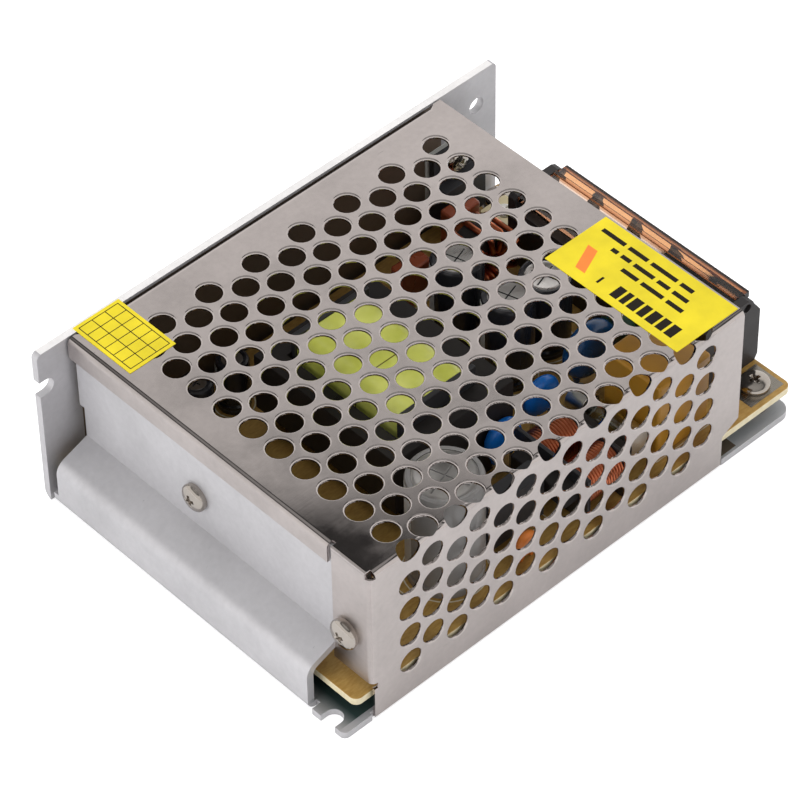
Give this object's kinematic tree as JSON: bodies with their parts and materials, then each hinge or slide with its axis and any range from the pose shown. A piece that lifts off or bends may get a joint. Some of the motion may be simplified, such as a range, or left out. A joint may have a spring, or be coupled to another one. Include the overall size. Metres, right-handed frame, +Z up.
{
  "type": "enclosed switching power supply",
  "caption": "Small enclosed power supply: folded aluminium chassis, perforated steel cover, five way terminal block with an amber flip lid, and its board inside.",
  "frame": {"origin": "middle of the base plate's underside", "axes": "+X along the case towards the terminals, +Y towards the solid side wall, +Z up"},
  "size_m": [0.1112, 0.0782, 0.0361],
  "materials": {
    "chassis_aluminium": "satin, drawn sheet",
    "cover_steel": "bright zinc plated",
    "screw_steel": "zinc plated",
    "label_film": "satin yellow film",
    "board_laminate": "tan paper laminate",
    "tinned_metal": "tin plated",
    "block_plastic": "moulded",
    "lid_plastic": "clear amber",
    "ferrite": "sintered",
    "bobbin_plastic": "moulded",
    "winding_tape": "wound film tape",
    "can_sleeve": "shrink sleeve",
    "big_can_sleeve": "shrink sleeve",
    "amber_case": "moulded box",
    "red_case": "dipped box",
    "blue_dip": "epoxy dipped",
    "dark_blue_dip": "epoxy dipped",
    "green_dip": "epoxy dipped",
    "orange_dip": "epoxy dipped",
    "fuse_glass": "clear",
    "copper_wire": "enamelled copper",
    "moulded_black": "moulded package",
    "pad_grey": "silicone sheet",
    "resistor_coat": "lacquered",
    "cream_plastic": "moulded",
    "green_lens": "tinted lens"
  },
  "bodies": {
    "case": {"chassis": "chassis_aluminium", "mesh_cover": "cover_steel", "cover_label": "label_film", "edge_label": "label_film", "circuit_board": "board_laminate", "board_standoffs": "screw_steel", "board_screws": "screw_steel", "cover_screw": "screw_steel", "clamp_screws": "screw_steel", "clamp_nut": "screw_steel", "terminal_block": "block_plastic", "terminal_plates": "tinned_metal", "clamp_washers": "tinned_metal", "terminal_screws": "screw_steel", "transformer_core": "ferrite", "transformer_bobbin": "bobbin_plastic", "transformer_winding": "winding_tape", "bulk_capacitor": "big_can_sleeve", "output_capacitors": "can_sleeve", "small_capacitors": "can_sleeve", "x_capacitor": "amber_case", "film_capacitors": "red_case", "y_capacitors": "blue_dip", "varistor": "dark_blue_dip", "thermistor": "green_dip", "disc_capacitor": "orange_dip", "fuse_tube": "fuse_glass", "fuse_caps": "tinned_metal", "choke_core": "ferrite", "choke_bobbin": "bobbin_plastic", "choke_coils": "copper_wire", "bridge_rectifier": "moulded_black", "toroid_core": "ferrite", "toroid_winding": "copper_wire", "transistor_pad": "pad_grey", "switch_transistor": "moulded_black", "rectifier_pad": "pad_grey", "output_rectifier": "moulded_black", "control_chip": "moulded_black", "optocoupler": "moulded_black", "resistors": "resistor_coat", "diodes": "moulded_black", "trimmer_body": "cream_plastic", "status_led": "green_lens"},
    "lid": {"terminal_lid": "lid_plastic"},
    "rotor": {"trimmer_rotor": "cream_plastic"}
  },
  "joints": [
    {"name": "lid_hinge", "type": "hinge", "parent": "case", "child": "lid", "pos_m": [0.0438, 0, 0.0215], "axis": [0, -1, 0], "range_deg": [0, 100]},
    {"name": "trimmer_turn", "type": "hinge", "parent": "case", "child": "rotor", "pos_m": [0.0469, 0.0269, 0.0108], "axis": [0, 0, 1], "range_deg": [-130, 130]}
  ]
}
